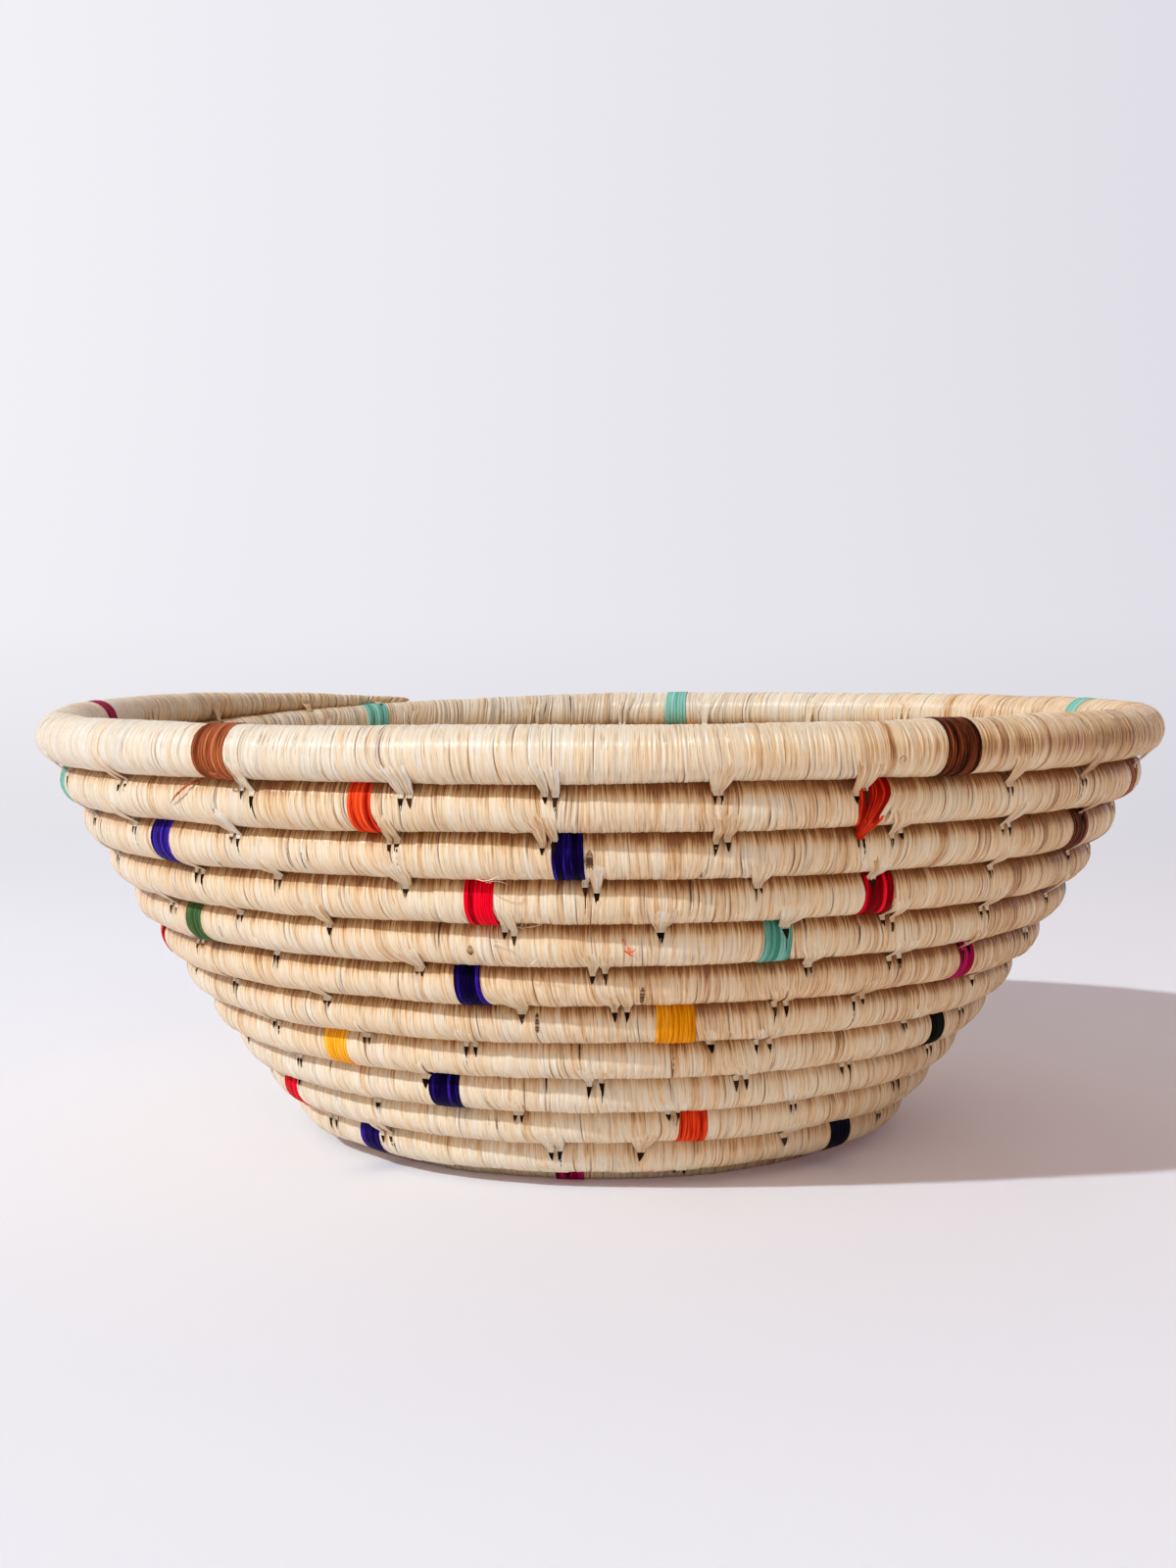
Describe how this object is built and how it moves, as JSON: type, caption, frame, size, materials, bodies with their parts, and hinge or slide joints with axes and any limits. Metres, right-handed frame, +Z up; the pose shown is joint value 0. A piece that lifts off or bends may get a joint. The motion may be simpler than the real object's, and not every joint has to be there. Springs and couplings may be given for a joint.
{
  "type": "woven basket",
  "caption": "Round coiled raffia basket bowl with flared wall, flat spiral floor, tapered coil end at the rim and short dyed runs in the natural binding.",
  "frame": {"origin": "middle of the bowl's box, on the surface that it stands on", "axes": "+Z up, through the open mouth; -Y towards the viewer in the picture; the coil's tapered end lies at the back left, towards -X and +Y"},
  "size_m": [0.3038, 0.3032, 0.1181],
  "materials": {
    "raffia_magenta": "split raffia, soft sheen along the strand",
    "raffia_brown": "split raffia, soft sheen along the strand",
    "raffia_teal": "split raffia, soft sheen along the strand",
    "raffia_indigo": "split raffia, soft sheen along the strand",
    "raffia_orange": "split raffia, soft sheen along the strand",
    "raffia_yellow": "split raffia, soft sheen along the strand",
    "raffia_red": "split raffia, soft sheen along the strand",
    "raffia_green": "split raffia, soft sheen along the strand",
    "raffia_black": "split raffia, soft sheen along the strand",
    "raffia_navy": "split raffia, soft sheen along the strand",
    "raffia_natural": "split raffia, soft sheen along the strand",
    "foundation_grass": "dry grass bundle, matte"
  },
  "bodies": {
    "root": {"dyed_run_01_magenta": "raffia_magenta", "dyed_run_02_brown": "raffia_brown", "dyed_run_03_brown": "raffia_brown", "dyed_run_04_teal": "raffia_teal", "dyed_run_05_teal": "raffia_teal", "dyed_run_06_teal": "raffia_teal", "dyed_run_07_indigo": "raffia_indigo", "dyed_run_08_teal": "raffia_teal", "dyed_run_09_orange": "raffia_orange", "dyed_run_10_orange": "raffia_orange", "dyed_run_11_brown": "raffia_brown", "dyed_run_12_yellow": "raffia_yellow", "dyed_run_13_orange": "raffia_orange", "dyed_run_14_indigo": "raffia_indigo", "dyed_run_15_indigo": "raffia_indigo", "dyed_run_16_brown": "raffia_brown", "dyed_run_17_brown": "raffia_brown", "dyed_run_18_red": "raffia_red", "dyed_run_19_red": "raffia_red", "dyed_run_20_indigo": "raffia_indigo", "dyed_run_21_red": "raffia_red", "dyed_run_22_green": "raffia_green", "dyed_run_23_teal": "raffia_teal", "dyed_run_24_teal": "raffia_teal", "dyed_run_25_green": "raffia_green", "dyed_run_26_red": "raffia_red", "dyed_run_27_indigo": "raffia_indigo", "dyed_run_28_magenta": "raffia_magenta", "dyed_run_29_teal": "raffia_teal", "dyed_run_30_yellow": "raffia_yellow", "dyed_run_31_indigo": "raffia_indigo", "dyed_run_32_yellow": "raffia_yellow", "dyed_run_33_black": "raffia_black", "dyed_run_34_orange": "raffia_orange", "dyed_run_35_indigo": "raffia_indigo", "dyed_run_36_teal": "raffia_teal", "dyed_run_37_red": "raffia_red", "dyed_run_38_orange": "raffia_orange", "dyed_run_39_magenta": "raffia_magenta", "dyed_run_40_indigo": "raffia_indigo", "dyed_run_41_navy": "raffia_navy", "dyed_run_42_magenta": "raffia_magenta", "dyed_run_43_red": "raffia_red", "dyed_run_44_yellow": "raffia_yellow", "dyed_run_45_indigo": "raffia_indigo", "floor_wrap_inner": "raffia_natural", "floor_wrap_outer": "raffia_natural", "foot_wrap": "raffia_natural", "foundation_coil": "foundation_grass", "rim_wrap": "raffia_natural", "wall_wrap_01": "raffia_natural", "wall_wrap_02": "raffia_natural", "wall_wrap_03": "raffia_natural", "wall_wrap_04": "raffia_natural", "wall_wrap_05": "raffia_natural", "wall_wrap_06": "raffia_natural", "wall_wrap_07": "raffia_natural", "wall_wrap_08": "raffia_natural", "wall_wrap_09": "raffia_natural", "wall_wrap_10": "raffia_natural"}
  },
  "joints": []
}
